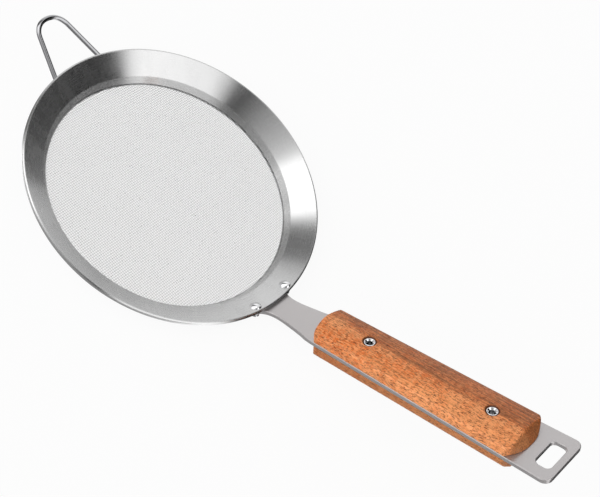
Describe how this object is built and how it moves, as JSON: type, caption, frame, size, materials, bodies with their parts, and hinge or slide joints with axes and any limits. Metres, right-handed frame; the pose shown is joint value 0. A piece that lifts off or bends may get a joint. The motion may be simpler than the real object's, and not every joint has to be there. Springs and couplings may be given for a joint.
{
  "type": "hand sieve",
  "caption": "Flat-bottomed hand sieve with a fine woven bottom, a shallow conical steel rim, a wire loop that hooks over a bowl and a rising flat tang with riveted wooden scales.",
  "frame": {"origin": "centre of the clamp ring's underside, where the sieve's axis meets the surface that the bottom lies flat on", "axes": "+Z along the sieve's axis, up out of the open cone; +X from the axis towards the handle, which rises as it leaves the rim; the wire loop is on the -X side"},
  "size_m": [0.3534, 0.17, 0.1057],
  "materials": {
    "brushed_rim": "brushed round the axis",
    "woven_mesh": "plain weave of bright wire",
    "satin_tang": "satin, brushed lengthwise",
    "handle_wood": "oiled open-pored red-brown wood",
    "polished_steel": "polished"
  },
  "bodies": {
    "root": {"rim": "brushed_rim", "mesh_screen": "woven_mesh", "clamp_ring": "brushed_rim", "tang": "satin_tang", "upper_scale": "handle_wood", "lower_scale": "handle_wood", "front_tube_rivet": "polished_steel", "rear_tube_rivet": "polished_steel", "left_dome_rivet": "polished_steel", "right_dome_rivet": "polished_steel", "hanging_loop": "polished_steel"}
  },
  "joints": []
}
